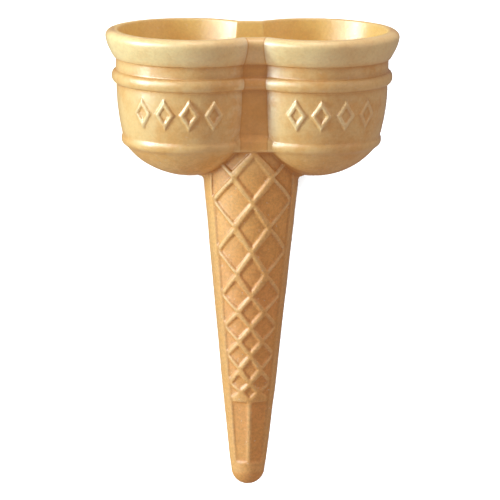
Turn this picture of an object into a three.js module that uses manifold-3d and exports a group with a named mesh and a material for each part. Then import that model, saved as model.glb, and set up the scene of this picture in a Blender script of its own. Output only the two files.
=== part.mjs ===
// An empty moulded wafer cone with two round cups side by side on one stem, baked in one piece.
import * as THREE from 'three';
import { ConvexGeometry } from 'three/addons/geometries/ConvexGeometry.js';
import { mergeVertices } from 'three/addons/utils/BufferGeometryUtils.js';
import Module from 'manifold-3d';

const wasm = await Module();
wasm.setup();

// Driving dimensions in millimetres. The cone is drawn upright first: heights are above the tip of
// the stem, X runs from cup to cup and the front faces -Y. It is laid on its back at the end.
const wall = 2.3; // wafer thickness of the cups
const cupSpacing = 37.5; // between the axes of the two cups
const rimHeight = 138.8;
const rimInnerRadius = 21.5;
const lip = { radius: 25.15, height: 136.9, topRadius: 23.0 }; // widest ring of the flared lip
const neck = { radius: 21.9, bottom: 126.9, top: 130.6 }; // recessed ring under the lip
const flare = { overhang: 0.35, curve: 1.6 }; // the lip's step over the neck; a curve of 1 is straight
const bead = { height: 124.9, halfHeight: 2.0, relief: 1.35, from: -60, to: 60 }; // ring under the neck
const cupWall = { radius: 21.7, top: 122.9, bottom: 107.3, barrel: 0.0082 }; // barrel in 1/mm
const band = { radius: 20.05, height: 106.1, relief: 1.45, halfHeight: 2.0, from: -65, to: 20 };
const bowl = { halfWidth: 22.5, halfHeight: 20.6, bottom: 95.0, endRadius: 18.2, insideEnd: -36 };
const bridgeInset = 5.5; // the bridge between the cups stands this far behind their fronts
const bridgeBandDepth = 14.9; // half depth of the bridge at the band
const tip = { radius: 5.05, height: 4.95 }; // rounded end of the stem
// The stem's taper as height and radius: the top of the tip, its straight stretches, inside the cups.
const stemProfile = [[4.95, 5.05], [9, 5.62], [36, 8.55], [92.4, 14.1], [105, 14.65]];
const stemWall = 3.1; // out to the ribs
const hollowEnd = 14; // height of the hollow's blind end in the stem
const latticeRows = [104.1, 88.5, 73.3, 59.7, 50.0, 41.2, 32.5, 27.1]; // crossings on the centre line
const panel = { lowHeight: 27, lowHalf: 5.5, highHeight: 88, highHalf: 11.35 }; // half width in X
const sideCrossing = 0.47; // where the side crossings stand, as a share of the panel's half width
const rib = { halfWidth: 0.85, draft: 0.25, relief: 0.2 }; // at the foot; least height over a floor
const flute = { top: 26.9, bottom: 7.6, halfGap: 0.6, lowHalf: 3.8 }; // flat panels under the lattice
const lozenge = { height: 116.1, tall: 7.6, wide: 5.2, stroke: 1.1, relief: 0.4 };
const lozengeAngles = [-42, -22, -2, 18]; // degrees round the left cup from its front
const restFlat = 0.25; // depth of the flat spots that the cone lies on

const cupSides = 44;
const insideSides = 32;
const stemSides = 36;
const stemHollowSides = 16;
const bowlSteps = 5;
const ringSteps = 3;
const wallSteps = 3;
const cutClearance = 4; // how far a cutter runs past the face that it opens
const embed = 1; // how deep a raised mark starts in the wall
const weldDistance = 1e-4;
const cupAxis = cupSpacing / 2;

const degrees = THREE.MathUtils.degToRad;
const mix = THREE.MathUtils.lerp;

// A closed geometry as a solid, and back.
function solid(geometry) {
  const bare = geometry.index ? geometry.toNonIndexed() : geometry.clone();
  bare.deleteAttribute('normal');
  bare.deleteAttribute('uv');
  const merged = mergeVertices(bare, weldDistance);
  return new wasm.Manifold(new wasm.Mesh({
    numProp: 3,
    vertProperties: new Float32Array(merged.attributes.position.array),
    triVerts: new Uint32Array(merged.index.array),
  }));
}

function toGeometry(manifold) {
  const mesh = manifold.getMesh();
  const geometry = new THREE.BufferGeometry();
  geometry.setAttribute('position', new THREE.BufferAttribute(mesh.vertProperties, 3));
  geometry.setIndex(new THREE.BufferAttribute(mesh.triVerts, 1));
  geometry.computeVertexNormals();
  return geometry;
}

function joinAll(solids) {
  return solids.reduce((all, next) => all.add(next));
}

// Evenly spaced shares from 0 to 1, ends included.
function shares(steps) {
  return Array.from({ length: steps + 1 }, (_, i) => i / steps);
}

// Points of an elliptical arc as [radius, height], ends included.
function arc(centre, halfWidth, halfHeight, from, to, steps) {
  return shares(steps).map((t) => {
    const angle = degrees(mix(from, to, t));
    return [centre[0] + halfWidth * Math.cos(angle), centre[1] + halfHeight * Math.sin(angle)];
  });
}

function wallRadius(height) {
  return cupWall.radius - cupWall.barrel * (cupWall.top - height) ** 2;
}

// The lip's outer face, from its foot over the neck to its widest ring.
function flareOutline() {
  const rise = lip.height - neck.top;
  const reach = lip.radius - neck.radius - flare.overhang;
  return shares(ringSteps + 1).slice(0, -1).map((t) => [
    lip.radius - reach * (1 - t) ** flare.curve, lip.height - rise * (1 - t)]);
}

// Outer outline of a cup from the middle of its underside to the top of its lip.
function cupOutline() {
  const bowlCentre = [0, bowl.bottom + bowl.halfHeight];
  const bowlEnd = -THREE.MathUtils.radToDeg(Math.acos(bowl.endRadius / bowl.halfWidth));
  const underside = arc(bowlCentre, bowl.halfWidth, bowl.halfHeight, -90, bowlEnd, bowlSteps);
  const bandArc = arc([band.radius - band.relief, band.height], band.relief, band.halfHeight,
    band.from, band.to, ringSteps);
  const side = shares(wallSteps).map((t) => {
    const height = mix(cupWall.bottom, cupWall.top, t);
    return [wallRadius(height), height];
  });
  const beadArc = arc([cupWall.radius, bead.height], bead.relief, bead.halfHeight,
    bead.from, bead.to, ringSteps);
  const lipArc = arc([lip.topRadius, lip.height], lip.radius - lip.topRadius,
    rimHeight - lip.height, 0, 90, ringSteps);
  return [...underside, ...bandArc, ...side, ...beadArc,
    [neck.radius, neck.bottom], [neck.radius, neck.top], ...flareOutline(), ...lipArc];
}

// Inner outline of a cup, from the middle of its floor to above the rim.
function cupInside() {
  const bowlCentre = [0, bowl.bottom + bowl.halfHeight];
  const floor = arc(bowlCentre, bowl.halfWidth - wall, bowl.halfHeight - wall,
    -90, bowl.insideEnd, bowlSteps - 1);
  const side = shares(wallSteps - 1).map((t) => {
    const height = mix(cupWall.bottom, cupWall.top, t);
    return [wallRadius(height) - wall, height];
  });
  return [...floor, ...side, [neck.radius - wall, neck.bottom], [neck.radius - wall, neck.top],
    [rimInnerRadius, rimHeight], [rimInnerRadius, rimHeight + cutClearance]];
}

// A solid of revolution about the vertical axis through x, closed on the axis at both ends.
function turned(outline, x, sides) {
  const points = outline.map(([radius, height]) => new THREE.Vector2(Math.max(radius, 0), height));
  points[0].x = 0;
  points.push(new THREE.Vector2(0, points.at(-1).y));
  const geometry = new THREE.LatheGeometry(points, sides);
  geometry.rotateX(Math.PI / 2);
  geometry.translate(x, 0, 0);
  return solid(geometry);
}

// The straight stretch between the cups: their outline, set back, drawn from axis to axis.
function bridge(outline) {
  const reach = outline.map(([radius, height]) => [radius - bridgeInset, height])
    .filter(([depth]) => depth > 0);
  const points = [[0, reach[0][1]], ...reach];
  const shape = new THREE.Shape([
    ...points.map(([depth, height]) => new THREE.Vector2(depth, height)),
    ...points.slice(1).reverse().map(([depth, height]) => new THREE.Vector2(-depth, height)),
  ]);
  const geometry = new THREE.ExtrudeGeometry(shape, { depth: cupSpacing, bevelEnabled: false });
  geometry.applyMatrix4(new THREE.Matrix4().makeBasis(
    new THREE.Vector3(0, 1, 0), new THREE.Vector3(0, 0, 1), new THREE.Vector3(1, 0, 0)));
  geometry.translate(-cupAxis, 0, 0);
  return solid(geometry);
}

// The bridge's own outline is fuller at the band, where the stem comes up to meet it.
function bridgeOutline() {
  return cupOutline().map(([radius, height]) => {
    const nearBand = Math.abs(height - band.height) < band.halfHeight;
    return [nearBand ? Math.max(radius, bridgeBandDepth + bridgeInset) : radius, height];
  });
}

function stemRadius(height) {
  const above = Math.max(1, stemProfile.findIndex(([level]) => level >= height));
  const [[low, lowRadius], [high, highRadius]] = [stemProfile[above - 1], stemProfile[above]];
  return mix(lowRadius, highRadius, (height - low) / (high - low));
}

function plainStem() {
  const end = arc([0, tip.height], tip.radius, tip.height, -90, 0, bowlSteps);
  const side = stemProfile.slice(1).map(([height, radius]) => [radius, height]);
  return turned([...end, ...side], 0, stemSides);
}

// The hollow in the stem: a round blind end, then the taper's levels above it.
function stemInside() {
  const endRadius = stemRadius(hollowEnd) - stemWall;
  const end = arc([0, hollowEnd], endRadius, endRadius, -90, 0, ringSteps);
  const side = stemProfile.filter(([height]) => height > hollowEnd)
    .map(([height, radius]) => [radius - stemWall, height]);
  return turned([...end, ...side], 0, stemHollowSides);
}

function panelHalf(height) {
  return mix(panel.lowHalf, panel.highHalf,
    (height - panel.lowHeight) / (panel.highHeight - panel.lowHeight));
}

// A point of the stem's front at this height and distance from the centre line.
function onStem(x, height) {
  return new THREE.Vector3(x, -Math.sqrt(stemRadius(height) ** 2 - x * x), height);
}

// A crossing of the lattice, across given as a share of the panel's half width.
function crossing(across, height) {
  return onStem(across * panelHalf(height), height);
}

// The corners moved inwards, each edge by its own distance. The edge i runs from corner i onwards.
function inset(corners, distances) {
  const turn = Math.sign(THREE.ShapeUtils.area(corners));
  const edges = corners.map((corner, i) => {
    const along = corners[(i + 1) % corners.length].clone().sub(corner).normalize();
    const inward = new THREE.Vector2(-along.y, along.x).multiplyScalar(turn);
    return { start: corner.clone().addScaledVector(inward, distances[i]), along };
  });
  return edges.map((edge, i) => {
    const before = edges.at(i - 1);
    const gap = edge.start.clone().sub(before.start);
    const reach = gap.cross(edge.along) / before.along.cross(edge.along);
    return before.start.clone().addScaledVector(before.along, reach);
  });
}

const taper = Math.atan((stemRadius(panel.highHeight) - stemRadius(panel.lowHeight))
  / (panel.highHeight - panel.lowHeight));

// The cutter of one pocket between ribs: a flat floor that faces outwards, and drafted sides.
// An edge that lies on the panel's border keeps its place, the others leave half a rib.
function pocket(corners, facing, borderEdges = []) {
  const normal = new THREE.Vector3(Math.sin(facing) * Math.cos(taper),
    -Math.cos(facing) * Math.cos(taper), -Math.sin(taper));
  const across = new THREE.Vector3(Math.cos(facing), Math.sin(facing), 0);
  const up = new THREE.Vector3().crossVectors(normal, across).negate();
  const flat = corners.map((corner) => new THREE.Vector2(corner.dot(across), corner.dot(up)));
  const floor = Math.min(...corners.map((corner) => corner.dot(normal))) - rib.relief;
  const place = (rise) => {
    const widening = rib.draft * rise;
    const distances = corners.map((_, i) => (borderEdges.includes(i) ? 0 : rib.halfWidth) - widening);
    return inset(flat, distances).map((point) => new THREE.Vector3()
      .addScaledVector(across, point.x)
      .addScaledVector(up, point.y)
      .addScaledVector(normal, floor + rise));
  };
  return solid(new ConvexGeometry([...place(0), ...place(cutClearance)]));
}

// The angle that a flat between two crossings faces.
function facingOf(from, to) {
  return Math.atan2((from.x + to.x) / 2, -(from.y + to.y) / 2);
}

// The pockets of one row: a lozenge on the centre line, and on each side a lozenge that reaches up
// into the row above and a triangle on the panel's border.
function rowPockets(high, middle, low, middleAbove) {
  const cutters = [pocket([crossing(0, high), crossing(sideCrossing, middle),
    crossing(0, low), crossing(-sideCrossing, middle)], 0)];
  for (const side of [-1, 1]) {
    const inner = crossing(side * sideCrossing, middle);
    const outer = crossing(side, middle);
    cutters.push(pocket([crossing(side, high), inner, crossing(side, low)],
      facingOf(inner, outer), [2]));
    cutters.push(pocket([crossing(side * sideCrossing, middleAbove), crossing(0, high),
      inner, crossing(side, high)], facingOf(crossing(0, high), crossing(side, high))));
  }
  return cutters;
}

// A plain sunk panel beside the centre rib, under the lattice.
function flutePocket(side) {
  const corners = [onStem(side * flute.halfGap, flute.top), onStem(side * flute.halfGap, flute.bottom),
    onStem(side * flute.lowHalf, flute.bottom), crossing(side, flute.top)];
  return pocket(corners, facingOf(corners[0], corners[3]), [0, 1, 2, 3]);
}

function pockets() {
  const middles = latticeRows.slice(0, -1).map((height, i) => (height + latticeRows[i + 1]) / 2);
  const cutters = middles.flatMap((middle, i) => {
    const [high, low] = [latticeRows[i], latticeRows[i + 1]];
    return rowPockets(high, middle, low, i === 0 ? 2 * high - middle : middles[i - 1]);
  });
  return joinAll([...cutters, flutePocket(-1), flutePocket(1)]);
}

// The stem with its lattice, the back like the front.
function latticeStem() {
  const front = pockets();
  return plainStem().subtract(front).subtract(front.mirror([0, 1, 0]));
}

// A lozenge outline, smaller by this much at its side corners.
function lozengeOutline(smaller) {
  const halfWide = lozenge.wide / 2 - smaller;
  const halfTall = halfWide * lozenge.tall / lozenge.wide;
  return [[halfWide, 0], [0, halfTall], [-halfWide, 0], [0, -halfTall]]
    .map(([x, y]) => new THREE.Vector2(x, y));
}

// Raised lozenge outlines round the left cup's front, standing on the tapering wall.
function lozenges() {
  const shape = new THREE.Shape(lozengeOutline(0));
  shape.holes.push(new THREE.Path(lozengeOutline(lozenge.stroke)));
  const depth = lozenge.relief + embed;
  const radius = wallRadius(lozenge.height);
  const lean = Math.atan(2 * cupWall.barrel * (cupWall.top - lozenge.height));
  return joinAll(lozengeAngles.map((angle) => {
    const geometry = new THREE.ExtrudeGeometry(shape, { depth, bevelEnabled: false });
    geometry.translate(0, 0, -embed);
    geometry.rotateX(Math.PI / 2 + lean);
    geometry.translate(0, -radius, 0);
    geometry.rotateZ(degrees(angle));
    geometry.translate(-cupAxis, 0, lozenge.height);
    return solid(geometry);
  }));
}

// The tilt at which the backs of both lips and the tip of the stem touch one plane.
function restTilt() {
  const lipRound = lip.radius - lip.topRadius;
  const rise = lip.height - tip.height;
  const apart = Math.hypot(rise, lip.topRadius);
  return Math.atan2(lip.topRadius, rise) - Math.asin((tip.radius - lipRound) / apart);
}

// What lies below the resting plane, so that the cut leaves a small flat at each point of rest.
function belowRest(tilt) {
  const size = 3 * rimHeight;
  const geometry = new THREE.BoxGeometry(size, size, size);
  geometry.translate(0, tip.radius - restFlat + size / 2, 0);
  geometry.rotateX(-tilt);
  geometry.translate(0, 0, tip.height);
  return solid(geometry);
}

function wafer(tilt) {
  const outline = cupOutline();
  const inside = cupInside();
  const marks = lozenges();
  const marksBothCups = marks.add(marks.mirror([1, 0, 0]));
  const body = joinAll([
    latticeStem(),
    turned(outline, -cupAxis, cupSides),
    turned(outline, cupAxis, cupSides),
    bridge(bridgeOutline()),
    marksBothCups,
    marksBothCups.mirror([0, 1, 0]),
  ]);
  const hollow = joinAll([
    turned(inside, -cupAxis, insideSides),
    turned(inside, cupAxis, insideSides),
    bridge(inside),
    stemInside(),
  ]);
  return body.subtract(hollow).subtract(belowRest(tilt));
}

const tilt = restTilt();
const material = new THREE.MeshStandardMaterial({ color: 0xe2bd7c, roughness: 0.55, metalness: 0 });
const cone = new THREE.Mesh(toGeometry(wafer(tilt)), material);
cone.name = 'wafer_cone';
cone.rotation.x = tilt - Math.PI / 2;

// Laid on its back, centred over the origin and standing on Z = 0.
const group = new THREE.Group();
group.add(cone);
group.updateMatrixWorld(true);
const box = new THREE.Box3().setFromObject(cone, true);
cone.position.set(-(box.min.x + box.max.x) / 2, -(box.min.y + box.max.y) / 2, -box.min.z);

export default group;
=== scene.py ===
import math

import bpy
from mathutils import Matrix, Vector


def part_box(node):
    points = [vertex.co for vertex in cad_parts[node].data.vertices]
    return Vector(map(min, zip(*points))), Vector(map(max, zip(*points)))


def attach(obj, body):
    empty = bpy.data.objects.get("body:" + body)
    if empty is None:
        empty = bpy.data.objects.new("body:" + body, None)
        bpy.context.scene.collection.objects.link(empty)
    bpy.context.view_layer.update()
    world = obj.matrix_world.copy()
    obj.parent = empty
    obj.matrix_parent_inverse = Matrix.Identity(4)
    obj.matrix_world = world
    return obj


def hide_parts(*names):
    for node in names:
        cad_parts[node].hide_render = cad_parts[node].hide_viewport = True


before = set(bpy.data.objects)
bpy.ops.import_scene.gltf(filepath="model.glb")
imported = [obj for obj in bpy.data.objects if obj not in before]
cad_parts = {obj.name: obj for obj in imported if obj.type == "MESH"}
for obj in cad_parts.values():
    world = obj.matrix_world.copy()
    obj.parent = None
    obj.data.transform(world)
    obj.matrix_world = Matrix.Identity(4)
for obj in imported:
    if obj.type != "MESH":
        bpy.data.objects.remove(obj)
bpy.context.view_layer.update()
bpy.ops.object.select_all(action="DESELECT")
print("frame loaded")

mm = 0.001  # the wafer is modelled upright in millimetres, then scaled and laid down


def spread(low, high, steps):
    return [low + (high - low) * i / steps for i in range(steps + 1)]


def arc(centreX, centreZ, halfWidth, halfHeight, start, end, steps):
    turns = [math.radians(a) for a in spread(start, end, steps)]
    return [(centreX + halfWidth * math.cos(a), centreZ + halfHeight * math.sin(a)) for a in turns]


def pickOnly(*pieces):
    bpy.ops.object.select_all(action="DESELECT")
    for piece in pieces:
        piece.select_set(True)
    bpy.context.view_layer.objects.active = pieces[0]


def drawChain(name, points):  # one vertex, extruded from point to point
    bpy.ops.object.select_all(action="DESELECT")
    bpy.ops.mesh.primitive_plane_add(size=1, location=points[0])
    piece = bpy.context.object
    piece.name = name
    bpy.ops.object.mode_set(mode="EDIT")
    bpy.ops.mesh.merge(type="CENTER")
    for here, there in zip(points, points[1:]):
        step = Vector(there) - Vector(here)
        bpy.ops.mesh.extrude_vertices_move(TRANSFORM_OT_translate={"value": step})
    return piece


def turnOutline(name, outline, x, sides):  # a lathed solid about the upright axis through x
    piece = drawChain(name, [(x + radius, 0, height) for radius, height in outline])
    bpy.ops.mesh.select_all(action="SELECT")
    bpy.ops.mesh.spin(steps=sides, angle=math.tau, center=(x, 0, 0), axis=(0, 0, 1))
    bpy.ops.mesh.select_all(action="SELECT")
    bpy.ops.mesh.remove_doubles(threshold=0.001)
    bpy.ops.mesh.normals_make_consistent(inside=False)
    bpy.ops.object.mode_set(mode="OBJECT")
    return piece


def extrudeOutline(name, outline, x0, x1):  # outline as (depth, height), mirrored front to back
    front = [(x0, -depth, height) for depth, height in outline]
    back = [(x0, depth, height) for depth, height in reversed(outline)]
    piece = drawChain(name, front + [p for p in back if p[1] > 0.001])
    bpy.ops.mesh.select_all(action="SELECT")
    bpy.ops.mesh.edge_face_add()
    bpy.ops.mesh.extrude_region_move(TRANSFORM_OT_translate={"value": (x1 - x0, 0, 0)})
    bpy.ops.mesh.select_all(action="SELECT")
    bpy.ops.mesh.normals_make_consistent(inside=False)
    bpy.ops.object.mode_set(mode="OBJECT")
    return piece


def carve(piece, cutter):
    pickOnly(piece)
    modifier = piece.modifiers.new("carve", "BOOLEAN")
    modifier.operation = "DIFFERENCE"
    modifier.solver = "MANIFOLD"
    modifier.object = cutter
    bpy.ops.object.modifier_apply(modifier=modifier.name)


def joinPieces(name, pieces):
    pickOnly(*pieces)
    bpy.ops.object.join()
    bpy.ops.object.transform_apply(location=True, rotation=True, scale=True)
    joined = bpy.context.object
    joined.name = name
    return joined


def selectVertices(piece, test):  # in edit mode
    bpy.ops.mesh.select_all(action="DESELECT")
    bpy.ops.object.mode_set(mode="OBJECT")
    for vertex in piece.data.vertices:
        vertex.select = test(piece.matrix_world @ vertex.co)
    bpy.ops.object.mode_set(mode="EDIT")


cup = {
    "spacing": 37.5,
    "wall": 2.3,
    "rimHeight": 138.8,
    "rimInnerRadius": 21.5,
    "lipRadius": 25.15,
    "lipHeight": 136.9,
    "lipTopRadius": 23.0,
    "lipOverhang": 0.6,
    "lipCurve": 1.6,  # 1 is a straight flare
    "neckRadius": 21.9,
    "neckBottom": 126.9,
    "neckTop": 130.6,
    "beadHeight": 124.9,
    "beadHalfHeight": 2.0,
    "beadRelief": 1.45,
    "wallRadius": 21.7,
    "wallTop": 122.9,
    "wallBottom": 107.3,
    "barrel": 0.0082,  # how fast the wall tapers below its top, in 1/mm
    "bandRadius": 20.05,
    "bandHeight": 106.1,
    "bandRelief": 1.55,
    "bandHalfHeight": 2.0,
    "bowlHalfWidth": 22.5,
    "bowlHalfHeight": 20.6,
    "bowlBottom": 95.0,
    "bowlEndRadius": 18.2,
    "sides": 128,
}

bridge = {
    "setBack": 6.0,  # behind the fronts of the cups
    "bandHalfDepth": 14.9,
}


def wallRadius(height):
    return cup["wallRadius"] - cup["barrel"] * (cup["wallTop"] - height) ** 2


def cupOutline():
    bowlCentre = cup["bowlBottom"] + cup["bowlHalfHeight"]
    bowlEnd = -math.degrees(math.acos(cup["bowlEndRadius"] / cup["bowlHalfWidth"]))
    rise = cup["lipHeight"] - cup["neckTop"]
    reach = cup["lipRadius"] - cup["neckRadius"] - cup["lipOverhang"]
    points = arc(0, bowlCentre, cup["bowlHalfWidth"], cup["bowlHalfHeight"], -90, bowlEnd, 14)
    points += arc(cup["bandRadius"] - cup["bandRelief"], cup["bandHeight"],
                  cup["bandRelief"], cup["bandHalfHeight"], -65, 20, 8)
    points += [(wallRadius(z), z) for z in spread(cup["wallBottom"], cup["wallTop"], 8)]
    points += arc(cup["wallRadius"], cup["beadHeight"],
                  cup["beadRelief"], cup["beadHalfHeight"], -60, 60, 8)
    points += [(cup["neckRadius"], cup["neckBottom"]), (cup["neckRadius"], cup["neckTop"])]
    points += [(cup["lipRadius"] - reach * t ** cup["lipCurve"], cup["lipHeight"] - rise * t)
               for t in spread(1, 0.1, 8)]
    points += arc(cup["lipTopRadius"], cup["lipHeight"], cup["lipRadius"] - cup["lipTopRadius"],
                  cup["rimHeight"] - cup["lipHeight"], 0, 90, 6)
    return points + [(0, cup["rimHeight"])]


def cupInside():
    bowlCentre = cup["bowlBottom"] + cup["bowlHalfHeight"]
    points = arc(0, bowlCentre, cup["bowlHalfWidth"] - cup["wall"],
                 cup["bowlHalfHeight"] - cup["wall"], -90, -36, 10)
    points += [(wallRadius(z) - cup["wall"], z)
               for z in spread(cup["wallBottom"], cup["wallTop"], 6)]
    points += [(cup["neckRadius"] - cup["wall"], cup["neckBottom"]),
               (cup["neckRadius"] - cup["wall"], cup["neckTop"]),
               (cup["rimInnerRadius"], cup["rimHeight"]),
               (cup["rimInnerRadius"], cup["rimHeight"] + 2)]
    return points + [(0, cup["rimHeight"] + 2)]


def bridgeReach(outline, fullBand):
    points = []
    for radius, height in outline:
        depth = radius - bridge["setBack"]
        if fullBand and abs(height - cup["bandHeight"]) < cup["bandHalfHeight"]:
            depth = max(depth, bridge["bandHalfDepth"])
        if depth > 0:
            points.append((depth, height))
    return [(0, points[0][1])] + points + [(0, points[-1][1])]


def makeCups():
    cupAxis = cup["spacing"] / 2
    outside = [turnOutline("leftCup", cupOutline(), -cupAxis, cup["sides"]),
               turnOutline("rightCup", cupOutline(), cupAxis, cup["sides"]),
               extrudeOutline("bridge", bridgeReach(cupOutline(), True), -cupAxis, cupAxis)]
    hollow = [turnOutline("leftHollow", cupInside(), -cupAxis, cup["sides"]),
              turnOutline("rightHollow", cupInside(), cupAxis, cup["sides"]),
              extrudeOutline("bridgeHollow", bridgeReach(cupInside(), False), -cupAxis, cupAxis)]
    return outside, hollow


stem = {
    "tipRadius": 5.05,
    "tipHeight": 4.95,
    "profile": [(9, 5.62), (36, 8.55), (92.4, 14.1), (105, 14.65)],  # height, radius above the tip
    "wall": 3.1,
    "hollowEnd": 14,
    "cornerHeight": 93.0,  # the soft corner under the cups starts here
    "cornerRadius": 2.0,
    "cornerDepth": 0.6,  # share of its width, which keeps it clear of the lattice
    "sides": 128,
}


def stemRadius(height):
    points = [(stem["tipHeight"], stem["tipRadius"])] + stem["profile"]
    for (low, lowRadius), (high, highRadius) in zip(points, points[1:]):
        if height <= high:
            break
    return lowRadius + (highRadius - lowRadius) * (height - low) / (high - low)


def makePlainStem():
    outline = arc(0, stem["tipHeight"], stem["tipRadius"], stem["tipHeight"], -90, 0, 12)
    outline += [(radius, z) for z, radius in stem["profile"]]
    return turnOutline("stem", outline + [(0, outline[-1][1])], 0, stem["sides"])


def makeCorner():  # rounds off the corner between the sides of the stem and the cups
    height, radius = stem["cornerHeight"], stem["cornerRadius"]
    outline = [(0, height - 1), (stemRadius(height) - 1, height - 1)]
    outline += arc(stemRadius(height) + radius, height, radius, radius, 180, 90, 8)
    outline += [(outline[-1][0], height + radius + 1), (0, height + radius + 1)]
    piece = turnOutline("corner", outline, 0, stem["sides"])
    bpy.ops.object.transform_apply(location=True, rotation=True, scale=True)
    piece.scale.y = stem["cornerDepth"]
    bpy.ops.object.transform_apply(location=True, rotation=True, scale=True)
    return piece


def makeStemHollow():
    endRadius = stemRadius(stem["hollowEnd"]) - stem["wall"]
    outline = arc(0, stem["hollowEnd"], endRadius, endRadius, -90, 0, 8)
    outline += [(radius - stem["wall"], z)
                for z, radius in stem["profile"] if z > stem["hollowEnd"]]
    return turnOutline("stemHollow", outline + [(0, outline[-1][1])], 0, stem["sides"] // 2)


lattice = {
    "rows": [104.1, 88.5, 73.3, 59.7, 50.0, 41.2, 32.5, 27.1],  # crossings on the centre line
    "lowHeight": 27,
    "lowHalf": 5.5,  # half width of the panel that it covers
    "highHeight": 88,
    "highHalf": 11.35,
    "sideCrossing": 0.47,  # share of the half width
    "depth": 0.3,  # of the floors, at their side corners
    "edgeDepth": 0.28,  # of the triangles on the borders
    "ribHalfWidth": 0.5,  # at the foot, without its round top
    "dome": 1.0,  # roundness of the floors, 1 is as round as the stem
}


def panelHalf(height):
    share = (height - lattice["lowHeight"]) / (lattice["highHeight"] - lattice["lowHeight"])
    return lattice["lowHalf"] + (lattice["highHalf"] - lattice["lowHalf"]) * share


def onStem(x, height):
    return Vector((x, -math.sqrt(stemRadius(height) ** 2 - x * x), height))


def crossing(across, height):
    return onStem(across * panelHalf(height), height)


def copyTo(piece, name, matrix):
    pickOnly(piece)
    bpy.ops.object.duplicate()
    copy = bpy.context.object
    copy.name = name
    copy.matrix_world = matrix
    bpy.ops.object.transform_apply(location=True, rotation=True, scale=True)
    return copy


def facingOf(first, second):
    return math.atan2((first.x + second.x) / 2, -(first.y + second.y) / 2)


def pocketAxes(facing, low, high):  # across, up and out of the stem between two heights
    taper = math.atan((stemRadius(high) - stemRadius(low)) / (high - low))
    normal = Vector((math.sin(facing) * math.cos(taper), -math.cos(facing) * math.cos(taper),
                     -math.sin(taper)))
    across = Vector((math.cos(facing), math.sin(facing), 0))
    return across, normal.cross(across), normal


# A lozenge from -1 to 1, or its left half. X runs across, Y up the stem, Z outwards; the floor
# rises from 0 at its side corners to 1 in its middle.
def makePocketCutter(name, right):
    middle, half = (right - 1) / 2, (right + 1) / 2
    lid = 10  # well above the surface of the stem
    chain = [(x, -1, 1 - ((x - middle) / half) ** 2) for x in spread(-1, right, 8)]
    piece = drawChain(name, chain + [(right, -1, lid), (-1, -1, lid)])
    bpy.ops.mesh.select_all(action="SELECT")
    bpy.ops.mesh.edge_face_add()
    bpy.ops.mesh.extrude_region_move(TRANSFORM_OT_translate={"value": (0, 2, 0)})
    for x, y in ((-1, -1), (-1, 1), (1, -1), (1, 1)):
        bpy.ops.mesh.select_all(action="SELECT")
        bpy.ops.mesh.bisect(plane_co=(x, 0, 0), plane_no=(x, y, 0), use_fill=True, clear_outer=True)
    bpy.ops.mesh.select_all(action="SELECT")
    bpy.ops.mesh.remove_doubles(threshold=0.0001)
    bpy.ops.mesh.normals_make_consistent(inside=False)
    bpy.ops.object.mode_set(mode="OBJECT")
    bpy.ops.object.transform_apply(location=True, rotation=True, scale=True)
    return piece


def placePocket(cutter, name, corners, facing, halfWidth, halfHeight, centre, edge=False, turn=0):
    heights = [corner.z for corner in corners]
    across, up, normal = pocketAxes(facing, min(heights), max(heights))
    depth = lattice["edgeDepth"] if edge else lattice["depth"]
    floor = min(corner.dot(normal) for corner in corners) - depth
    slant = math.hypot(halfWidth, halfHeight)
    rib = lattice["ribHalfWidth"]
    wide = halfWidth - rib * slant / halfHeight
    tall = halfHeight - rib * slant / halfWidth
    domeHalf = wide / 2 if edge else wide
    rise = lattice["dome"] * domeHalf ** 2 / (2 * stemRadius(centre.z))
    place = across * centre.dot(across) + up * centre.dot(up) + normal * floor
    axes = Matrix((across, up, normal)).transposed().to_4x4()
    size = Matrix.Diagonal((wide, tall, rise, 1))
    turned = axes @ Matrix.Rotation(turn, 4, "Z")
    return copyTo(cutter, name, Matrix.Translation(place) @ turned @ size)


def makePockets():
    diamond = makePocketCutter("diamondCutter", 1)
    half = makePocketCutter("halfCutter", 0)
    rows = lattice["rows"]
    middles = [(a + b) / 2 for a, b in zip(rows, rows[1:])]
    side = lattice["sideCrossing"]
    cutters = []
    for i, middle in enumerate(middles):
        high, low = rows[i], rows[i + 1]
        above = middles[i - 1] if i else 2 * high - middle
        corners = [crossing(0, high), crossing(side, middle),
                   crossing(0, low), crossing(-side, middle)]
        cutters.append(placePocket(diamond, "centrePocket", corners, 0, corners[1].x,
                                   (high - low) / 2, (corners[0] + corners[2]) / 2))
        for sign in (-1, 1):
            inner, outer = crossing(0, high), crossing(sign, high)
            top, bottom = crossing(sign * side, above), crossing(sign * side, middle)
            facing = facingOf(inner, outer)
            across = pocketAxes(facing, low, high)[0]
            cutters.append(placePocket(diamond, "sidePocket", [inner, outer, top, bottom], facing,
                                       abs((outer - inner).dot(across)) / 2, (above - middle) / 2,
                                       (inner + outer) / 2))
            upper, lower = crossing(sign, high), crossing(sign, low)
            facing = facingOf(bottom, crossing(sign, middle))
            across = pocketAxes(facing, low, high)[0]
            border = (upper + lower) / 2
            cutters.append(placePocket(half, "edgePocket", [upper, lower, bottom], facing,
                                       abs((border - bottom).dot(across)), (high - low) / 2,
                                       border, True, 0 if sign > 0 else math.pi))
    cutters += [makeFluteCutter(-1), makeFluteCutter(1)]
    pickOnly(diamond, half)
    bpy.ops.object.delete()
    return joinPieces("pockets", cutters)


flute = {
    "top": 26.6,
    "bottom": 7.6,
    "halfGap": 0.6,  # half the rib between the two
    "lowHalf": 3.8,
    "topHalf": 5.3,
    "depth": 0.3,
    "bottomRise": 0.24,  # they run out towards the tip
}


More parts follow.
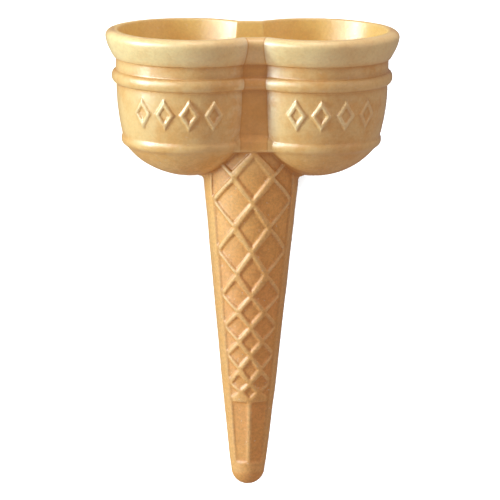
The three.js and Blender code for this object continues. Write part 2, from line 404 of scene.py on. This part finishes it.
def makeFluteCutter(sign):
    corners = [onStem(sign * flute["halfGap"], flute["top"]),
               onStem(sign * flute["halfGap"], flute["bottom"]),
               onStem(sign * flute["lowHalf"], flute["bottom"]),
               onStem(sign * flute["topHalf"], flute["top"])]
    facing = facingOf(corners[0], corners[3])
    across, up, normal = pocketAxes(facing, flute["bottom"], flute["top"])
    floor = min(corner.dot(normal) for corner in corners) - flute["depth"]
    flat = [across * c.dot(across) + up * c.dot(up) + normal * floor for c in corners]
    for i in (1, 2):
        flat[i] += normal * flute["bottomRise"]
    piece = drawChain("fluteCutter", flat)
    bpy.ops.mesh.select_all(action="SELECT")
    bpy.ops.mesh.edge_face_add()
    rise = normal * (3 * flute["depth"] + 1)
    bpy.ops.mesh.extrude_region_move(TRANSFORM_OT_translate={"value": rise})
    bpy.ops.mesh.select_all(action="SELECT")
    bpy.ops.mesh.normals_make_consistent(inside=False)
    bpy.ops.object.mode_set(mode="OBJECT")
    return piece


# Each span of a rib runs between two crossings, given as the share of the half width and the level,
# with its half width and how far it stands proud of the stem.
ribs = {
    "spans": [
        (-1, "low", -0.47, "middle", 0.78, 0.04),
        (-0.47, "middle", 0, "high", 0.84, 0.1),
        (0, "low", 0.47, "middle", 0.9, 0.12),
        (0.47, "middle", 1, "high", 0.55, 0.0),
        (-1, "high", -0.47, "middle", 0.6, 0.05),
        (-0.47, "middle", 0, "low", 0.68, 0.02),
        (0, "high", 0.47, "middle", 0.84, 0.08),
        (0.47, "middle", 1, "low", 0.55, 0.0),
    ],
    "halfHeight": 0.6,
    "arch": 0.3,  # share of the half height
    "cap": 0.14,  # length of a rounded end, as a share of the span
    "overlap": 0.03,
    "waist": 0.18,  # from here to the middle and on, the bar keeps its width
    "sides": 16,
}


def makeBar():  # from -0.5 to 0.5 along Z, arched towards Y
    cap, end = ribs["cap"], 0.5 + ribs["overlap"]
    waist = ribs["waist"]
    outline = arc(0, cap - end, 1, cap, -90, 0, 4) + [(1, -waist), (1, 0), (1, waist)]
    outline += arc(0, end - cap, 1, cap, 0, 90, 4)
    piece = turnOutline("bar", outline, 0, ribs["sides"])
    bpy.ops.object.transform_apply(location=True, rotation=True, scale=True)
    bpy.ops.object.mode_set(mode="EDIT")
    for _, height in outline:
        selectVertices(piece, lambda co: abs(co.z - height) < 0.0001)
        bpy.ops.transform.translate(value=(0, ribs["arch"] * (1 - 4 * height * height), 0))
    bpy.ops.object.mode_set(mode="OBJECT")
    return piece


def makeRibs():
    bar = makeBar()
    bars = []
    for high, low in zip(lattice["rows"], lattice["rows"][1:]):
        levels = {"high": high, "middle": (high + low) / 2, "low": low}
        for fromShare, fromLevel, toShare, toLevel, halfWidth, proud in ribs["spans"]:
            start, end = crossing(fromShare, levels[fromLevel]), crossing(toShare, levels[toLevel])
            middle = (start + end) / 2
            along = (end - start).normalized()
            outward = Vector((middle.x, middle.y, 0))
            across = outward.cross(along).normalized()
            outward = along.cross(across)
            surface = (onStem(middle.x, middle.z) - middle).dot(outward)
            height = ribs["halfHeight"]
            place = middle + outward * (surface + proud - height * (1 + ribs["arch"]))
            axes = Matrix((across, outward, along)).transposed().to_4x4()
            size = Matrix.Diagonal((halfWidth, height, (end - start).length, 1))
            bars.append(copyTo(bar, "rib", Matrix.Translation(place) @ axes @ size))
    pickOnly(bar)
    bpy.ops.object.delete()
    return joinPieces("ribs", bars)


def copyToBack(piece):  # the back of the cone is like its front
    pickOnly(piece)
    bpy.ops.object.duplicate()
    copy = bpy.context.object
    bpy.ops.transform.mirror(constraint_axis=(False, True, False), center_override=(0, 0, 0))
    bpy.ops.object.transform_apply(location=True, rotation=True, scale=True)
    bpy.ops.object.mode_set(mode="EDIT")
    bpy.ops.mesh.select_all(action="SELECT")
    bpy.ops.mesh.normals_make_consistent(inside=False)
    bpy.ops.object.mode_set(mode="OBJECT")
    return copy


lozenge = {
    "height": 116.1,
    "halfTall": 3.4,
    "halfWide": 2.2,
    "stroke": 1.1,  # radius of the raised line
    "sink": 0.62,  # how deep the line's middle lies in the wall
    "angles": [-42, -22, -2, 18],  # degrees round the left cup from its front
}


def makeLozenges():
    bpy.ops.object.select_all(action="DESELECT")
    bpy.ops.mesh.primitive_torus_add(major_segments=4, minor_segments=12, major_radius=1,
                                     minor_radius=lozenge["stroke"] / lozenge["halfWide"])
    ring = bpy.context.object
    marks = []
    lean = math.atan(2 * cup["barrel"] * (cup["wallTop"] - lozenge["height"]))
    for sign in (-1, 1):
        for angle in lozenge["angles"]:
            turn = math.radians(-sign * angle)
            place = (Matrix.Translation((sign * cup["spacing"] / 2, 0, lozenge["height"]))
                     @ Matrix.Rotation(turn, 4, "Z")
                     @ Matrix.Translation((0, lozenge["sink"] - wallRadius(lozenge["height"]), 0))
                     @ Matrix.Rotation(math.pi / 2 + lean, 4, "X")
                     @ Matrix.Diagonal((lozenge["halfWide"], lozenge["halfTall"],
                                        lozenge["halfWide"], 1)))
            marks.append(copyTo(ring, "lozenge", place))
    pickOnly(ring)
    bpy.ops.object.delete()
    return joinPieces("lozenges", marks)


def restTilt():
    lipRound = cup["lipRadius"] - cup["lipTopRadius"]
    rise = cup["lipHeight"] - stem["tipHeight"]
    apart = math.hypot(rise, cup["lipTopRadius"])
    return math.atan2(cup["lipTopRadius"], rise) - math.asin((stem["tipRadius"] - lipRound) / apart)


finish = {
    "voxel": 0.23,
    "stemSoftness": 4,  # smoothing steps of the stem before it joins the cups
    "softness": 1,
    "uneven": 0.25,
    "unevenScale": 14,
    "triangles": 190000,
    "restFlat": 0.25,  # how deep the flats are that the wafer lies on
}


def fuse(piece, smoothSteps):
    pickOnly(piece)
    remesh = piece.modifiers.new("fuse", "REMESH")
    remesh.mode = "VOXEL"
    remesh.voxel_size = finish["voxel"]
    bpy.ops.object.modifier_apply(modifier=remesh.name)
    smooth = piece.modifiers.new("soften", "SMOOTH")
    smooth.factor = 0.5
    smooth.iterations = smoothSteps
    bpy.ops.object.modifier_apply(modifier=smooth.name)


def makeStem():
    plainStem = makePlainStem()
    pockets = makePockets()
    carve(plainStem, pockets)
    backPockets = copyToBack(pockets)
    carve(plainStem, backPockets)
    pickOnly(pockets, backPockets)
    bpy.ops.object.delete()
    bars = makeRibs()
    stemPiece = joinPieces("stem", [plainStem, bars, copyToBack(bars)])
    fuse(stemPiece, finish["stemSoftness"])
    return stemPiece


def makeWafer():
    outside, hollow = makeCups()
    print("cups made")
    outside += [makeStem(), makeCorner()]
    hollow.append(makeStemHollow())
    print("stem made")
    for piece in outside:
        for cutter in hollow:
            carve(piece, cutter)
    pickOnly(*hollow)
    bpy.ops.object.delete()
    marks = makeLozenges()
    wafer = joinPieces("wafer", outside + [marks, copyToBack(marks)])
    fuse(wafer, finish["softness"])
    print("wafer fused", len(wafer.data.polygons))
    return wafer


def roughen(wafer):  # a little uneven, as baked batter is
    pickOnly(wafer)
    unevenness = bpy.data.textures.new("unevenness", "CLOUDS")
    unevenness.noise_scale = finish["unevenScale"]
    displace = wafer.modifiers.new("uneven", "DISPLACE")
    displace.texture = unevenness
    displace.texture_coords = "LOCAL"
    displace.strength = finish["uneven"]
    bpy.ops.object.modifier_apply(modifier=displace.name)
    decimate = wafer.modifiers.new("thin", "DECIMATE")
    decimate.ratio = min(1, finish["triangles"] / (2 * len(wafer.data.polygons)))
    bpy.ops.object.modifier_apply(modifier=decimate.name)
    print("wafer thinned", len(wafer.data.polygons))


def layDown(wafer):
    lowCorner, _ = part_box("wafer_cone")
    tilt = restTilt()
    height = stem["tipRadius"] - finish["restFlat"] - stem["tipHeight"] * math.sin(tilt)
    pickOnly(wafer)
    wafer.scale = (mm, mm, mm)
    wafer.rotation_euler = (tilt - math.pi / 2, 0, 0)
    wafer.location = (0, lowCorner.y, height * mm)
    bpy.ops.object.transform_apply(location=True, rotation=True, scale=True)
    bpy.ops.object.mode_set(mode="EDIT")
    bpy.ops.mesh.select_all(action="SELECT")
    bpy.ops.mesh.bisect(plane_co=(0, 0, 0), plane_no=(0, 0, -1), use_fill=True, clear_outer=True,
                        threshold=0.0000001)
    bpy.ops.object.mode_set(mode="OBJECT")
    bpy.ops.object.shade_smooth()


def addNode(tree, kind, place, **settings):
    node = tree.nodes.new(kind)
    node.location = place
    for setting, value in settings.items():
        setattr(node, setting, value)
    return node


def addMix(tree, place, mask, before, colour):
    mix = addNode(tree, "ShaderNodeMix", place, data_type="RGBA")
    mix.inputs["B"].default_value = colour
    tree.links.new(mask, mix.inputs["Factor"])
    tree.links.new(before, mix.inputs["A"])
    return mix.outputs["Result"]


def addRange(tree, place, value, start, end, atStart, atEnd):
    mask = addNode(tree, "ShaderNodeMapRange", place, interpolation_type="SMOOTHSTEP")
    mask.inputs["From Min"].default_value = start
    mask.inputs["From Max"].default_value = end
    mask.inputs["To Min"].default_value = atStart
    mask.inputs["To Max"].default_value = atEnd
    tree.links.new(value, mask.inputs["Value"])
    return mask.outputs["Result"]


def addNoise(tree, place, vector, scale, detail, roughness):
    noise = addNode(tree, "ShaderNodeTexNoise", place)
    noise.inputs["Scale"].default_value = scale
    noise.inputs["Detail"].default_value = detail
    noise.inputs["Roughness"].default_value = roughness
    tree.links.new(vector, noise.inputs["Vector"])
    return noise.outputs["Fac"]


def addOcclusion(tree, place, distance, inside=False):
    occlusion = addNode(tree, "ShaderNodeAmbientOcclusion", place, inside=inside, samples=12)
    occlusion.inputs["Distance"].default_value = distance
    return occlusion.outputs["AO"]


def addMath(tree, place, operation, first, second):  # each a socket or a number
    node = addNode(tree, "ShaderNodeMath", place, operation=operation)
    for socket, value in zip(node.inputs, (first, second)):
        if isinstance(value, (int, float)):
            socket.default_value = value
        else:
            tree.links.new(value, socket)
    return node.outputs["Value"]


def addLength(tree, place, first, second):
    both = addNode(tree, "ShaderNodeCombineXYZ", place)
    tree.links.new(first, both.inputs["X"])
    tree.links.new(second, both.inputs["Y"])
    length = addNode(tree, "ShaderNodeVectorMath", (place[0] + 150, place[1]), operation="LENGTH")
    tree.links.new(both.outputs["Vector"], length.inputs[0])
    return length.outputs["Value"]


toast = {
    "shank": (0.82, 0.355, 0.098, 1),
    "stem": (0.86, 0.415, 0.115, 1),
    "cups": (0.89, 0.572, 0.24, 1),
    "lip": (0.95, 0.70, 0.345, 1),
    # the front of the bridge, partly painted shade of the recess between the cups
    "bridge": (0.86, 0.44, 0.14, 1),
    # painted shade in the creases beside the bridge
    "creaseShadeAmount": 0.65,
    # painted highlight on the ends of the cups beside the bridge
    "cupEdgeHighlight": (0.98, 0.80, 0.52, 1),
    "cupEdgeHighlightAmount": 0.7,
    "inside": (0.90, 0.61, 0.185, 1),
    "sideShade": (0.54, 0.27, 0.09, 1),  # painted shade along the sides
    "sideShadeAmount": 0.6,
    # painted highlight on the ribs
    "rib": (0.94, 0.60, 0.235, 1),
    "ribHighlightAmount": 0.5,
    "border": (0.62, 0.27, 0.07, 1),  # painted shade: the lines along both sides of the lattice
    "borderShadeAmount": 0.85,
    "mark": (0.97, 0.72, 0.38, 1),  # painted highlight on the raised lozenges
    "markHighlightAmount": 0.85,
    "patch": (0.78, 0.37, 0.095, 1),
    "patchAmount": 0.6,
    # painted shade in the valleys and hollows
    "valley": (0.62, 0.29, 0.075, 1),
    "valleyShadeAmount": 0.85,
    "recess": (0.62, 0.27, 0.07, 1),  # painted shade beside the ribs, rings and creases
    "recessShadeAmount": 0.65,
    "crest": (0.92, 0.66, 0.33, 1),  # painted highlight on the tops of the ribs and rings
    "crestHighlightAmount": 0.65,
    "mottle": (0.70, 0.33, 0.08, 1),
    "mottleAmount": 0.32,
    # pale flecks, partly painted glints
    "fleck": (0.96, 0.74, 0.52, 1),
    "fleckGlintAmount": 0.45,
    "cupGrain": 0.4,  # share of the stem's grain that the cups have
    "lipPatches": 0.25,  # share of the patches that the lip has
    "faceTop": 0.35,  # share of the bridge's colour, partly painted shade, at its top
    "lowSideShade": 0.2,  # share of the painted side shade at the tip
    "speckle": 0.09,
    "stemRoughness": 0.5,
    "cupRoughness": 0.36,
    "specular": 0.48,
    "bump": 0.5,
    "bumpDistance": 0.00016,
    "axisShift": (0, 0.06893, -0.01459),  # from the tilted axis of the cone to the origin
}

# Where each mask starts and ends, in metres. Heights are over the tip.
limits = {
    "stemHeight": (0.06, 0.085),
    "cupHeight": (0.093, 0.109),
    "lipHeight": (0.1295, 0.1325),
    "glossHeight": (0.093, 0.106),
    "grainHeight": (0.094, 0.106),
    "insideHeight": (0.108, 0.110),
    "insideCup": (0.0047, 0.0052),  # from the axis of a cup, less the slope of its inner wall
    "insideBridge": (-0.0009, -0.0004),  # the same for the depth between the cups
    "nearBridge": (0.0044, 0.0054),
    "betweenHeight": (0.1015, 0.1035),
    "betweenSide": (0.012, 0.014),
    "face": (0, 0.0001),
    "faceHeight": (0.1295, 0.1315),
    "creaseShade": (-0.0001, 0.0001),
    "creaseShadeFade": (0.0001, 0.0004),
    "cupEdgeHighlightHeight": (0.106, 0.112),
    "cupEdgeHighlight": (-0.0035, 0),
    "rib": (-0.0002, 0.0001),
    "ribHeight": (0.098, 0.104),
    "border": (0.0001, 0.0006),
    "borderLow": (0.008, 0.012),
    "borderHigh": (0.094, 0.098),
    "markLow": (0.1105, 0.1115),
    "markHigh": (0.1205, 0.1215),
    "markSide": (0.006, 0.008),
    "markRise": (0.0002, 0.0004),
    "sideShade": (0.001, 0.008),
    "sideShadeHeight": (0.01, 0.06),
}
innerSlope = 0.125  # how fast the inner walls widen with the height over the tip

# Scale, detail and roughness of each noise, and the part of its range that shows.
noises = {
    "patch": (110, 5, 0.62),
    "spot": (480, 4, 0.6),
    "fleck": (900, 2, 0.5),
    "speckle": (1200, 3, 0.65),
}
shows = {
    "patch": (0.43, 0.65),
    "spot": (0.46, 0.62),
    "fleck": (0.66, 0.76),
    "speckle": (0.35, 0.65),
    "valley": (0.3, 0.9),
    "recess": (0.82, 1),
    "crest": (0.7, 0.98),
}
reaches = {"valley": 0.014, "recess": 0.0019, "crest": 0.0012}  # of the occlusion, in metres


# Masks of the bridge between the cups (partly painted shade), the painted shade in its creases, the
# painted highlight on the edges of the cups beside it and the inner walls, from the distance from
# the middle, the height over the tip and the depth in front of the axes of the cups, in metres.
def addCupMasks(tree, across, height, depth):
    sideways = addMath(tree, (-1800, 1200), "ABSOLUTE", across, 0)
    fromAxis = addMath(tree, (-1700, 1400), "SUBTRACT", sideways, cup["spacing"] / 2 * mm)
    forward = addMath(tree, (-1700, 1000), "ABSOLUTE", depth, 0)
    radius = addLength(tree, (-1600, 1400), fromAxis, forward)
    lean = addMath(tree, (-1600, 1200), "MULTIPLY", height, innerSlope)
    inCup = addRange(tree, (-1200, 1500), addMath(
        tree, (-1300, 1500), "SUBTRACT", radius, lean), *limits["insideCup"], 1, 0)
    overBridge = addMath(tree, (-1300, 1300), "SUBTRACT", addMath(
        tree, (-1400, 1300), "SUBTRACT", radius, forward), bridge["setBack"] * mm)
    nearBridge = addRange(tree, (-1200, 1300), sideways, *limits["nearBridge"], 1, 0)
    inBridge = addMath(tree, (-1000, 1300), "MULTIPLY", nearBridge, addRange(
        tree, (-1200, 1150), addMath(tree, (-1300, 1150), "SUBTRACT", forward, lean),
        *limits["insideBridge"], 1, 0))
    inside = addMath(tree, (-600, 1400), "MULTIPLY", addMath(
        tree, (-800, 1400), "MAXIMUM", inCup, inBridge), addRange(
        tree, (-1000, 1100), height, *limits["insideHeight"], 0, 1))
    between = addMath(tree, (-800, 950), "MULTIPLY", addRange(
        tree, (-1000, 950), height, *limits["betweenHeight"], 0, 1), addRange(
        tree, (-1200, 950), sideways, *limits["betweenSide"], 1, 0))
    face = addMath(tree, (-600, 1200), "MULTIPLY", between, addMath(
        tree, (-800, 1200), "MULTIPLY", addRange(
            tree, (-1000, 800), overBridge, *limits["face"], 0, 1), addRange(
            tree, (-1000, 650), height, *limits["faceHeight"], 1, toast["faceTop"])))
    creaseShade = addMath(tree, (-600, 1000), "MULTIPLY", between, addMath(
        tree, (-800, 1000), "MULTIPLY", addRange(
            tree, (-1000, 500), overBridge, *limits["creaseShade"], 0, 1), addRange(
            tree, (-1000, 350), overBridge, *limits["creaseShadeFade"], toast["creaseShadeAmount"], 0)))
    cupEdgeHighlight = addMath(tree, (-600, 800), "MULTIPLY", addMath(
        tree, (-800, 700), "MULTIPLY", between, addRange(
            tree, (-1000, 700), height, *limits["cupEdgeHighlightHeight"], 0, 1)), addMath(
        tree, (-800, 800), "MULTIPLY", addRange(
            tree, (-1000, 200), overBridge, *limits["face"], 1, 0), addRange(
            tree, (-1000, 50), overBridge, *limits["cupEdgeHighlight"], 0, toast["cupEdgeHighlightAmount"])))
    return inside, face, creaseShade, cupEdgeHighlight


# How far the surface stands out of the plain stem, in metres
def addRelief(tree, across, height, depth):
    points = [(stem["tipHeight"], stem["tipRadius"])] + stem["profile"]
    plain = stem["tipRadius"] * mm
    for i, ((low, lowRadius), (high, highRadius)) in enumerate(zip(points, points[1:])):
        rise = addNode(tree, "ShaderNodeMapRange", (-2000, -1600 - 200 * i))
        rise.inputs["From Min"].default_value = low * mm
        rise.inputs["From Max"].default_value = high * mm
        rise.inputs["To Max"].default_value = (highRadius - lowRadius) * mm
        tree.links.new(height, rise.inputs["Value"])
        plain = addMath(tree, (-1800, -1600 - 200 * i), "ADD", rise.outputs["Result"], plain)
    return addMath(tree, (-1600, -1600), "SUBTRACT", addLength(
        tree, (-1800, -1400), across, depth), plain)


# Painted shade: a dark line along the borders of the lattice and the grooves
def addBorderShade(tree, across, height):
    half = addNode(tree, "ShaderNodeMapRange", (-2000, -2600), clamp=False)
    for socket, value in (("From Min", lattice["lowHeight"]), ("From Max", lattice["highHeight"]),
                          ("To Min", lattice["lowHalf"]), ("To Max", lattice["highHalf"])):
        half.inputs[socket].default_value = value * mm
    tree.links.new(height, half.inputs["Value"])
    aside = addMath(tree, (-1800, -2600), "SUBTRACT", addMath(
        tree, (-2000, -2800), "ABSOLUTE", across, 0), half.outputs["Result"])
    line = addRange(tree, (-1400, -2600), addMath(
        tree, (-1600, -2600), "ABSOLUTE", aside, 0), *limits["border"], toast["borderShadeAmount"], 0)
    ends = addMath(tree, (-1400, -2800), "MULTIPLY", addRange(
        tree, (-1600, -2800), height, *limits["borderLow"], 0, 1), addRange(
        tree, (-1600, -3000), height, *limits["borderHigh"], 1, 0))
    return addMath(tree, (-1200, -2600), "MULTIPLY", line, ends)


# Painted highlight on what stands out of the walls of the cups
def addMarkHighlight(tree, across, height, depth):
    sideways = addMath(tree, (-2200, -3200), "ABSOLUTE", across, 0)
    fromAxis = addMath(tree, (-2000, -3200), "SUBTRACT", sideways, cup["spacing"] / 2 * mm)
    radius = addLength(tree, (-1800, -3200), fromAxis, depth)
    below = addMath(tree, (-2000, -3400), "SUBTRACT", cup["wallTop"] * mm, height)
    taper = addMath(tree, (-1600, -3400), "MULTIPLY", addMath(
        tree, (-1800, -3400), "MULTIPLY", below, below), cup["barrel"] / mm)
    relief = addMath(tree, (-1400, -3200), "ADD", radius, taper)
    wall = cup["wallRadius"] * mm
    rise, full = limits["markRise"]
    row = addMath(tree, (-1000, -3400), "MULTIPLY", addRange(
        tree, (-1200, -3400), height, *limits["markLow"], 0, 1), addRange(
        tree, (-1200, -3600), height, *limits["markHigh"], 1, 0))
    onCups = addMath(tree, (-800, -3400), "MULTIPLY", row, addRange(
        tree, (-1200, -3800), sideways, *limits["markSide"], 0, 1))
    return addMath(tree, (-600, -3200), "MULTIPLY", onCups, addRange(
        tree, (-1200, -3200), relief, wall + rise, wall + full, 0, toast["markHighlightAmount"]))


def bakedWafer():
    material = bpy.data.materials.new("bakedWafer")
    material.use_nodes = True
    tree = material.node_tree
    link = tree.links.new
    shader = tree.nodes["Principled BSDF"]
    coords = addNode(tree, "ShaderNodeTexCoord", (-2400, 0)).outputs["Object"]

    # colour by height over the tip, along the tilted axis of the cone
    upright = addNode(tree, "ShaderNodeMapping", (-2200, 500))
    upright.inputs["Location"].default_value = toast["axisShift"]
    upright.inputs["Rotation"].default_value = (-restTilt(), 0, 0)
    link(coords, upright.inputs["Vector"])
    split = addNode(tree, "ShaderNodeSeparateXYZ", (-2000, 500))
    link(upright.outputs["Vector"], split.inputs["Vector"])
    across, height, depth = split.outputs["X"], split.outputs["Y"], split.outputs["Z"]
    body = addNode(tree, "ShaderNodeMix", (-1700, 600), data_type="RGBA")
    body.inputs["A"].default_value = toast["shank"]
    body.inputs["B"].default_value = toast["stem"]
    link(addRange(tree, (-1900, 600), height, *limits["stemHeight"], 0, 1), body.inputs["Factor"])
    cupMask = addRange(tree, (-1900, 400), height, *limits["cupHeight"], 0, 1)
    colour = addMix(tree, (-1550, 500), cupMask, body.outputs["Result"], toast["cups"])
    lipMask = addRange(tree, (-1700, 350), height, *limits["lipHeight"], 0, 1)
    colour = addMix(tree, (-1400, 500), lipMask, colour, toast["lip"])

    inside, face, creaseShade, cupEdgeHighlight = addCupMasks(tree, across, height, depth)
    # painted highlight on the ends of the cups, painted shade on the bridge's front and in its
    # creases
    colour = addMix(tree, (-1350, 500), cupEdgeHighlight, colour, toast["cupEdgeHighlight"])
    colour = addMix(tree, (-1300, 500), face, colour, toast["bridge"])
    colour = addMix(tree, (-1275, 500), creaseShade, colour, toast["recess"])
    colour = addMix(tree, (-1250, 500), inside, colour, toast["inside"])

    # painted highlight: the ribs are paler than the floors between them
    ribHighlightMask = addMath(tree, (-1200, -1600), "MULTIPLY", addRange(
        tree, (-1400, -1600), addRelief(tree, across, height, depth), *limits["rib"], 0, 1),
        addRange(tree, (-1400, -1800), height, *limits["ribHeight"], toast["ribHighlightAmount"], 0))
    colour = addMix(tree, (-1230, 500), ribHighlightMask, colour, toast["rib"])
    # painted shade along the borders of the lattice
    borderShadeMask = addBorderShade(tree, across, height)
    colour = addMix(tree, (-1225, 500), borderShadeMask, colour, toast["border"])
    # painted highlight on the raised lozenges
    markHighlightMask = addMarkHighlight(tree, across, height, depth)
    colour = addMix(tree, (-1220, 500), markHighlightMask, colour, toast["mark"])

    # painted shade: the sides are browner
    sideShadeMask = addMath(tree, (-1200, -2000), "MULTIPLY", addRange(
        tree, (-1400, -2000), addMath(tree, (-1600, -2000), "ABSOLUTE", depth, 0),
        *limits["sideShade"], toast["sideShadeAmount"], 0), addMath(
        tree, (-1300, -2200), "MULTIPLY", addRange(
            tree, (-1500, -2300), height, *limits["sideShadeHeight"], toast["lowSideShade"], 1), addMath(
            tree, (-1400, -2200), "SUBTRACT", 1, inside)))
    colour = addMix(tree, (-1215, 500), sideShadeMask, colour, toast["sideShade"])

    # broad patches that baked longer
    patches = addNoise(tree, (-1800, 150), coords, *noises["patch"])
    patchMask = addMath(tree, (-1400, 150), "MULTIPLY", addRange(
        tree, (-1600, 150), patches, *shows["patch"], 0, toast["patchAmount"]), addRange(
        tree, (-1600, -50), height, *limits["lipHeight"], 1, toast["lipPatches"]))
    colour = addMix(tree, (-1200, 400), patchMask, colour, toast["patch"])

    # small brown spots, and a few pale flecks that are partly painted glints, both mostly on the
    # stem
    grainy = addRange(
        tree, (-1600, -850), height, *limits["grainHeight"], 1, toast["cupGrain"])
    spots = addNoise(tree, (-1800, -1000), coords, *noises["spot"])
    spotMask = addMath(tree, (-1400, -1000), "MULTIPLY", grainy, addRange(
        tree, (-1600, -1000), spots, *shows["spot"], 0, toast["mottleAmount"]))
    colour = addMix(tree, (-1100, 400), spotMask, colour, toast["mottle"])
    flecks = addNoise(tree, (-1800, -1200), coords, *noises["fleck"])
    fleckGlintMask = addMath(tree, (-1400, -1200), "MULTIPLY", grainy, addRange(
        tree, (-1600, -1200), flecks, *shows["fleck"], 0, toast["fleckGlintAmount"]))
    colour = addMix(tree, (-1050, 400), fleckGlintMask, colour, toast["fleck"])

    # painted shade in the valleys and beside the ribs, painted highlight on their tops
    valley = addOcclusion(tree, (-1600, -150), reaches["valley"])
    valleyShadeMask = addRange(
        tree, (-1400, -150), valley, *shows["valley"], toast["valleyShadeAmount"], 0)
    colour = addMix(tree, (-1000, 300), valleyShadeMask, colour, toast["valley"])
    recess = addOcclusion(tree, (-1600, -250), reaches["recess"])
    recessShadeMask = addRange(
        tree, (-1400, -250), recess, *shows["recess"], toast["recessShadeAmount"], 0)
    colour = addMix(tree, (-800, 250), recessShadeMask, colour, toast["recess"])
    crest = addOcclusion(tree, (-1600, -450), reaches["crest"], True)
    crestHighlightMask = addRange(tree, (-1400, -450), crest, *shows["crest"], toast["crestHighlightAmount"], 0)
    colour = addMix(tree, (-600, 200), crestHighlightMask, colour, toast["crest"])

    # fine speckle of the baked flour
    speckle = addNoise(tree, (-1400, -700), coords, *noises["speckle"])
    tone = addMath(tree, (-800, -700), "ADD", 1, addMath(
        tree, (-1000, -700), "MULTIPLY", grainy, addRange(
            tree, (-1200, -700), speckle, *shows["speckle"],
            -toast["speckle"], toast["speckle"])))
    speckled = addNode(tree, "ShaderNodeVectorMath", (-400, 150), operation="SCALE")
    link(colour, speckled.inputs[0])
    link(tone, speckled.inputs["Scale"])
    link(speckled.outputs["Vector"], shader.inputs["Base Color"])

    roughness = addRange(tree, (-400, -100), height, *limits["glossHeight"],
                         toast["stemRoughness"], toast["cupRoughness"])
    link(roughness, shader.inputs["Roughness"])
    shader.inputs["Specular IOR Level"].default_value = toast["specular"]
    bump = addNode(tree, "ShaderNodeBump", (-400, -300))
    bump.inputs["Strength"].default_value = toast["bump"]
    bump.inputs["Distance"].default_value = toast["bumpDistance"]
    link(addMath(tree, (-600, -300), "ADD", speckle, addMath(
        tree, (-800, -300), "MULTIPLY", spots, grainy)), bump.inputs["Height"])
    link(bump.outputs["Normal"], shader.inputs["Normal"])
    return material


studio = {
    "floorSize": 3,
    "floorColour": (0.84, 0.9, 0.93, 1),
    "floorRoughness": 0.9,
    "worldColour": (1.0, 0.88, 0.87, 1),
    "worldStrength": 0.32,
    "daylight": (0.82, 1.03, 1.06),
    "warm": (1.08, 0.99, 0.91),
    "white": (1.0, 1.0, 1.0),
    "lamps": [  # name, place, width, height, watts, colour
        ("window", (-0.8, 0.12, 0.26), 0.6, 0.08, 7.6, "daylight"),
        ("rim", (0.0, 0.9, 0.3), 0.3, 0.5, 4.1, "warm"),
        ("fill", (0.8, 0.2, 0.5), 0.6, 0.6, 0.95, "white"),
        ("low", (0.0, -0.85, 0.45), 0.6, 0.4, 0.85, "warm"),
    ],
    "glossLamps": [
        ("glossLow", (-0.78, 0.25, 0.25), 0.5, 0.25, 11, "white"),
        ("glossHigh", (-0.6, 0.3, 0.55), 0.5, 0.5, 9, "white"),
    ],
    "floorLamp": ("floorLamp", (-0.2, 0.3, 1.5), 3, 3, 170, "white"),
}


def paleFloor():
    material = bpy.data.materials.new("paleFloor")
    material.use_nodes = True
    shader = material.node_tree.nodes["Principled BSDF"]
    shader.inputs["Base Color"].default_value = studio["floorColour"]
    shader.inputs["Roughness"].default_value = studio["floorRoughness"]
    return material


def makeFloor():
    bpy.ops.object.select_all(action="DESELECT")
    bpy.ops.mesh.primitive_plane_add(size=studio["floorSize"], location=(0, 0, 0))
    floor = bpy.context.object
    floor.name = "floor"
    floor.data.materials.append(paleFloor())
    floor.visible_diffuse = False  # its bounce would flatten the shading of the wafer
    floor.visible_glossy = False  # its reflection would whiten the edges of the wafer
    return floor


camera = {
    "aim": Vector((0, 0.0007, 0.01486)),
    "distance": 1.5,
    "lens": 360,
    "sensor": 36,
    "leanLeft": 2.95,  # degrees off straight down
    "leanUp": 2.37,
    "roll": 0.15,
    "shift": -0.0006,
}


def makeCamera():
    left, up = math.radians(camera["leanLeft"]), math.radians(camera["leanUp"])
    outward = Vector((-math.tan(left), math.tan(up), 1)).normalized()
    right = Vector((0, 1, 0)).cross(outward).normalized()
    above = outward.cross(right)
    axes = Matrix((right, above, outward)).transposed().to_4x4()
    turned = Matrix.Translation(camera["aim"] + outward * camera["distance"]) @ axes
    bpy.ops.object.camera_add()
    cameraObject = bpy.context.object
    cameraObject.matrix_world = turned @ Matrix.Rotation(math.radians(camera["roll"]), 4, "Z")
    cameraObject.data.lens = camera["lens"]
    cameraObject.data.sensor_width = camera["sensor"]
    cameraObject.data.shift_x = camera["shift"]
    bpy.context.scene.camera = cameraObject


def addLamp(name, place, width, height, power, colour, receiver):
    bpy.ops.object.light_add(type="AREA", location=place)
    lamp = bpy.context.object
    lamp.name = name
    lamp.data.shape = "RECTANGLE"
    lamp.data.size = width
    lamp.data.size_y = height
    lamp.data.energy = power
    lamp.data.color = studio[colour]
    lamp.rotation_euler = Vector(place).to_track_quat("Z", "Y").to_euler()
    lit = bpy.data.collections.new(name)
    lit.objects.link(receiver)
    lamp.light_linking.receiver_collection = lit
    return lamp


def makeLights(wafer, floor):
    for spec in studio["lamps"]:
        addLamp(*spec, wafer)
    for spec in studio["glossLamps"]:
        addLamp(*spec, wafer).visible_diffuse = False
    addLamp(*studio["floorLamp"], floor)
    world = bpy.data.worlds.new("studio")
    bpy.context.scene.world = world
    world.use_nodes = True
    background = world.node_tree.nodes["Background"]
    background.inputs["Color"].default_value = studio["worldColour"]
    background.inputs["Strength"].default_value = studio["worldStrength"]
    bpy.context.scene.view_settings.view_transform = "Standard"


wafer = makeWafer()
roughen(wafer)
layDown(wafer)
wafer.data.materials.clear()
wafer.data.materials.append(bakedWafer())
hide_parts("wafer_cone")
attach(wafer, "root")
print("wafer laid down")

floor = makeFloor()
makeCamera()
makeLights(wafer, floor)
print("stage set")
